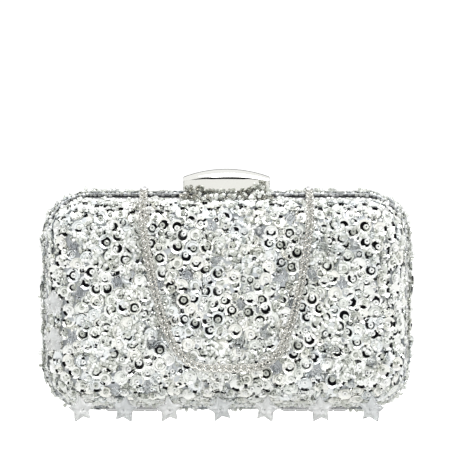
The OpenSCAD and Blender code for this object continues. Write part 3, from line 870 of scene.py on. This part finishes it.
def fine_chain():
    """A fine curb chain from lug to lug, split where the CAD's chain bodies meet."""
    pitch, end, step, lean_angle = 1.85, 4.68, 0.6, 32
    points, normals = chain_path()
    run = along_line(points)
    count = int(round((run[-1] - 2 * end) / pitch)) + 1
    along = np.linspace(end, run[-1] - end, count)

    def at(distances, rows):
        return np.column_stack([np.interp(distances, run, rows[:, k]) for k in range(3)])

    places, outs = at(along, points), unit(at(along, normals))
    tangents = unit(at(along + step, points) - at(along - step, points))
    outs = unit(outs - tangents * (outs * tangents).sum(axis=1, keepdims=True))
    sides = np.cross(outs, tangents)
    lean = np.radians(np.where(np.arange(count) % 2 == 0, lean_angle, -lean_angle))[:, None]
    across = sides * np.cos(lean) + outs * np.sin(lean)
    turns = np.stack([tangents, across, np.cross(tangents, across)], axis=2)
    on_run = places[:, 1] > BEND_Y
    on_bend = ~on_run & (places[:, 2] > BEND_Z)
    link_shape = ring_link(1.75, 2.0, 0.42)
    look = [CHAIN_METAL]
    for body, node, chosen in (
        ("chain_run", "chain_runs", on_run),
        ("chain_bend", "chain_bends", on_bend),
        ("chain_loop", "chain_loop", ~on_run & ~on_bend),
    ):
        links = scatter(body + "_links", link_shape, turns[chosen], places[chosen], look, smooth=True)
        declare(links, body, "chain", node)
    jump_r = 1.9
    jump = scatter("chain_jump_rings", ring_link(jump_r, jump_r, 0.45), [np.eye(3)] * 2,
                   [(s * LUG_X, LUG_Y - jump_r, LUG_Z) for s in (-1, 1)], look, smooth=True)
    declare(jump, "chain_run", "chain")


# ---------- stars and crystals

def sew_stars(name, half, node, turns, places, looks, picks=None):
    """Star beads with slightly rounded edges."""
    stars = scatter(name, star_bead(), turns, places, looks, picks)
    bevel = stars.modifiers.new("rounded edges", "BEVEL")
    bevel.width = STAR_EDGE * MM
    bevel.segments = 2
    bevel.limit_method = "ANGLE"
    bevel.angle_limit = math.radians(30)
    bevel.harden_normals = True
    declare(stars, half + "_half", "star", node)


def star_row(label, y, inset, out):
    """A row of star beads the bag stands on, and the threaded beads that tie each one to the edge."""
    side = 1 if label == "rear" else -1
    turns = [about_z(t) @ in_face(r) for t, r in zip(STAR_TURN, STAR_ROLL)]
    rolls = np.radians(STAR_ROLL)
    stand = STAR_Z * np.cos(rolls) + STAR_FOOT * STAR_R * np.sin(np.abs(rolls))
    places = [(x, y, z) for x, z in zip(STAR_X, stand)]
    sew_stars(label + "_star_beads_clear", label, label + "_stars", turns, places,
              [STAR_CLEAR, STAR_GREY], [0, 1, 0, 1, 0, 0, 1])

    tie_pitch, gap = 1.5, 0.6
    start = np.array([abs(y) - STAR_T / 2 - tie_pitch, STAR_Z])
    centre = np.array([HALF_D - HALF_R, RIM_LIFT + inset + HALF_R])
    reach = centre - start
    length = np.linalg.norm(reach) - HALF_R - out - gap
    axis = reach / np.linalg.norm(reach)
    spots, ways = [], []
    for x in STAR_X:
        for k in range(max(1, int(length / tie_pitch))):
            depth, z = start + axis * (tie_pitch * k)
            spots.append((x, side * depth, z))
            ways.append((0.0, side * axis[0], axis[1]))
    picks = rng.integers(0, len(BEADS), len(spots))
    turns = facing(ways, np.zeros(len(ways)))
    beads = scatter(label + "_tie_beads", cut_bead(1.0, 1.45, 9), turns, spots, BEADS, picks)
    declare(beads, label + "_half", "seed_bead", label + "_star_beads")


def edge_stars():
    """Two star beads lying against the left edge's rounding."""
    gap = 0.4
    stand = HALF_R + STAR_T / 2 + gap
    corner = np.array([-(RIM_W / 2 - FRONT_IN - HALF_R), -(HALF_D - HALF_R), 0.0])
    turn = about_z(-45)
    places = [corner + turn @ (0, -stand, 0) + (0, 0, z) for z in EDGE_STAR_Z]
    sew_stars("edge_star_beads", "front", "edge_stars", [turn, turn], places, [STAR_CLEAR])


def cut_spike(length, radius, sides):
    """A long cut crystal from X = 0, blunt at one end and pointed at the other."""
    angles, point = around(sides), 0.6
    return solid_loft([
        np.column_stack([np.full(sides, x), r * np.cos(angles), r * np.sin(angles)])
        for x, r in ((0, 0.55 * radius), (0.4 * radius, radius), (0.3 * length, 0.86 * radius),
                     (length - point, 0.26 * radius), (length, 0.1 * radius))
    ], closed=False)


def cut_kite(length, depth):
    """A kite-shaped crystal lying on Y = 0, with a girdle and a small flat table towards -Y."""
    shape = np.array([(-0.3, 0.0), (0.0, 0.28), (0.7, 0.0), (0.0, -0.28)]) * length
    levels = ((0.55, 0.0), (1.0, -0.3 * depth), (1.0, -0.45 * depth), (0.45, -depth))
    return solid_loft([at_depth(shape * share, y) for share, y in levels], closed=False)


def crystals_on_faces():
    """The kites, daggers and cone on the front face, and the kites on the rear one."""
    back = about_z(180)
    kite_length, dagger_length, dagger_r, cone_length, cone_r, cone_turn = 9, 9, 1.2, 15, 2.6, -12
    dagger_y, cone_y = -FACE_Y - dagger_r - 0.1, -FACE_Y - cone_r - 0.05
    cone_start = (CONE[0] - 7, cone_y, CONE[1] + 2)
    for name, half, node, shape, turns, spots, looks in (
        ("kite_crystals_cut", "front", "kite_crystals", cut_kite(kite_length, 2.6),
         [in_face(turn) for _, _, turn in KITES],
         [(x, -FACE_Y, z) for x, z, _ in KITES], [CRYSTAL_GREY, CRYSTAL]),
        ("dagger_crystals_cut", "front", "dagger_crystals", cut_spike(dagger_length, dagger_r, 6),
         [in_face(turn) for _, _, turn in DAGGERS],
         [(x, dagger_y, z) for x, z, _ in DAGGERS], [CRYSTAL]),
        ("cone_crystal_cut", "front", "cone_crystal", cut_spike(cone_length, cone_r, 10),
         [in_face(cone_turn)], [cone_start], [CRYSTAL]),
        ("rear_kite_crystals_cut", "rear", "rear_crystals", cut_kite(kite_length, 3.0),
         [back @ in_face(180 + turn) for _, _, turn in REAR_KITES],
         [(-x, FACE_Y + REAR_SKIN, z) for x, z, _ in REAR_KITES], [CRYSTAL, CRYSTAL_GREY]),
    ):
        declare(scatter(name, shape, turns, spots, looks), half + "_half", "crystal", node)


# ---------- lining and pocket

def lining(label, side, inset):
    """The satin that lines a half, gathered where it turns down the sides, and its edge cord."""
    offset = LINING_IN - 0.4
    verts, normals, faces = pillow(offset, inset, side, crown=0.0, reach=31, steps=16)
    x, z = verts[:, :1], verts[:, 2:]
    slack = 1 - np.abs(normals[:, 1:2])
    gathers = 0.3 * slack * (1 + np.sin(0.85 * x + 0.3 * np.sin(0.2 * x)) * np.sin(0.8 * z))
    creases = 0.26 * (2 + np.sin(0.13 * x + 0.10 * z) + np.sin(0.21 * z - 0.07 * x + 2 * np.sin(0.04 * x)))
    sheet = make_object(label + "_satin_lining", verts - normals * (gathers + creases), faces, [SATIN])
    sheet.modifiers.new("soft folds", "SUBSURF").levels = 1
    add_thickness(sheet, 0.5)
    edge = at_depth(outline(inset + LINING_IN + 0.6), side * (RIM_D + 0.9))
    cord = make_object(label + "_lining_cord", *looped_tube(edge, 0.7), [CORDING])
    declare(sheet, label + "_half", "lining", label + "_lining")
    declare(cord, label + "_half", "lining")


def strips(columns, pairs):
    """Quads between pairs of rows of points."""
    return [[a * columns + i, a * columns + i + 1, b * columns + i + 1, b * columns + i]
            for a, b in pairs for i in range(columns - 1)]


def slip_pocket():
    """A flat satin pocket on the rear lining, open at the top, with a folded hem."""
    wall, columns, rows = HALF_D - LINING_IN, 29, 19
    xs = np.linspace(-POCKET_W / 2, POCKET_W / 2, columns)
    verts = []
    for z in np.linspace(POCKET_Z, POCKET_Z + POCKET_H, rows):
        t = (z - POCKET_Z) / POCKET_H
        for x in xs:
            u = 2 * x / POCKET_W
            bulge = 1.1 * (1 - u ** 4) * min(1.0, 3 * t)
            pucker = 0.12 * math.sin(1.3 * x) * (1 - t) + 0.12 * math.sin(1.1 * z) * u * u
            verts.append((x, wall - 0.6 - bulge + pucker, z))
    faces = strips(columns, [(k, k + 1) for k in range(rows - 1)])
    panel = make_object("pocket_panel", verts, faces, [SATIN])
    add_thickness(panel, 0.5)
    hem_fold = ((-0.5, 0.1), (-0.55, -2.2), (-0.55, -4.6), (0.35, -4.6), (0.35, 0.1))
    hem_verts = np.concatenate([np.array(verts[-columns:]) + (0, dy, dz) for dy, dz in hem_fold])
    hem = make_object("pocket_hem", hem_verts, strips(columns, ((0, 1), (1, 2), (3, 4), (4, 0))), [CORDING])
    add_thickness(hem, 0.3)
    step, seam, hem_room, over = 2.4, 1.6, 5.5, 1.35
    low, high = POCKET_Z + seam, POCKET_Z + POCKET_H - hem_room
    side_x = POCKET_W / 2 - seam
    stitches = [(x, low, 0) for x in np.arange(-side_x, side_x - step, step)]
    stitches += [(sx * side_x, z, 90) for sx in (-1, 1) for z in np.arange(low, high, step)]
    seams = scatter("pocket_stitching", cut_spike(1.8, 0.24, 6), [in_face(turn) for _, _, turn in stitches],
                    [(x, wall - over, z) for x, z, _ in stitches], [CORDING], smooth=True)
    declare(panel, "rear_half", "lining", "slip_pocket")
    declare(hem, "rear_half", "lining")
    declare(seams, "rear_half", "lining")


# ---------- camera, light and floor

def aim(obj, at):
    obj.rotation_euler = (Vector(at) - obj.location).to_track_quat("-Z", "Y").to_euler()


def add_camera():
    """The photograph's view: straight on, barely above level, with a long lens."""
    distance, rise, view_width, sensor = 1.1, math.radians(1), 0.225, 36
    target = Vector((-0.75 * MM, -HALF_D * MM, 98.6 * MM))
    data = bpy.data.cameras.new("camera")
    data.sensor_width = sensor
    data.lens = sensor * distance / view_width
    camera = bpy.data.objects.new("camera", data)
    camera.location = target + Vector((0, -math.cos(rise), math.sin(rise))) * distance
    bpy.context.scene.collection.objects.link(camera)
    aim(camera, target)
    bpy.context.scene.camera = camera


def add_key_light():
    """One large soft lamp above the front."""
    data = bpy.data.lights.new("key_top", "AREA")
    data.shape = "RECTANGLE"
    data.size, data.size_y = 0.7, 0.5
    data.energy = 4.0
    lamp = bpy.data.objects.new("key_top", data)
    lamp.location = (0.15, -0.45, 0.9)
    bpy.context.scene.collection.objects.link(lamp)
    aim(lamp, (0, 0, 0.06))


def add_world():
    """A white room; reflections also see its dark openings, widest in front, and a greyer horizon."""
    world = bpy.data.worlds.new("studio")
    bpy.context.scene.world = world
    world.use_nodes = True
    coords = add_node(world, "ShaderNodeTexCoord").outputs["Generated"]

    def toward(direction, *degrees):
        """A patch round a direction that rises from 0 to 1 between two angles from it."""
        dot = add_node(world, "ShaderNodeVectorMath")
        dot.operation = "DOT_PRODUCT"
        dot.inputs[1].default_value = Vector(direction).normalized()
        link(world, coords, dot.inputs[0])
        start, end = (math.cos(math.radians(angle)) for angle in degrees)
        return ranged(world, dot.outputs["Value"], 0.0, 1.0, start, end)

    up = (0, 0, 1)
    horizon = calculated(world, "SUBTRACT", toward(up, 104, 96), toward(up, 90, 76))
    dark = calculated(world, "MULTIPLY", horizon, 0.35)
    for x, y, start, end in ((0, -1, 38, 36), (0, 1, 29, 26), (-1, 0, 17, 14), (1, 0, 17, 14)):
        dark = calculated(world, "MAXIMUM", dark, toward((x, y, 0.2), start, end))
    glossy = add_node(world, "ShaderNodeLightPath").outputs["Is Glossy Ray"]
    dark = calculated(world, "MULTIPLY", dark, glossy)
    background = world.node_tree.nodes["Background"]
    background.inputs["Strength"].default_value = 1.1
    link(world, mixed(world, dark, (1.0, 1.0, 1.0), (0.004, 0.004, 0.005)), background.inputs["Color"])


def add_floor():
    """A round white table, a little brighter to the eye than in the reflections."""
    mat, shader = new_material(
        "floor_white", Base_Color=(0.72, 0.72, 0.71, 1), Roughness=0.9, Emission_Color=(1, 1, 1, 1))
    seen = add_node(mat, "ShaderNodeLightPath").outputs["Is Camera Ray"]
    link(mat, ranged(mat, seen, 0.0, 1.0), shader.inputs["Emission Strength"])
    ring = [(FLOOR_R * math.cos(a), FLOOR_R * math.sin(a), FLOOR_Z) for a in around(96)]
    make_object("floor", ring, [list(range(len(ring)))], [mat], smooth=False)


add_camera()
add_world()
add_floor()
add_key_light()
bpy.context.scene.view_settings.view_transform = "Standard"

fine_chain()
for label, side, offset, inset in (("front", -1, FRONT_CLOTH, FRONT_IN), ("rear", 1, REAR_CLOTH, REAR_IN)):
    beaded_half(label, side, offset, inset)
    rolled_rim(label, side)
    lining(label, side, inset)
clasp_bar()
coil_springs()
star_row("front", -FRONT_STAND, FRONT_IN, 0.0)
star_row("rear", REAR_STAND, REAR_IN, REAR_SKIN)
edge_stars()
crystals_on_faces()
slip_pocket()

# The CAD nodes that stay in view, under the material that each one is given
NODE_MATERIALS = {
    FITTING_METAL: ("rear_hinge_leaves", "front_hinge_leaves", "chain_lugs", "latch_bracket", "latch_plate"),
    SPRING_METAL: ("hinge_pins", "rear_rivets", "front_rivets", "keeper_rivets", "keeper_spring",
                   "press_stems", "stem_clips"),
    SHELL_PLASTIC: ("front_shell", "rear_shell"),
}
for mat, names in NODE_MATERIALS.items():
    for node in (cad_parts[name] for name in names):
        if not node.material_slots:
            node.data.materials.append(mat)
        for slot in node.material_slots:
            slot.material = mat
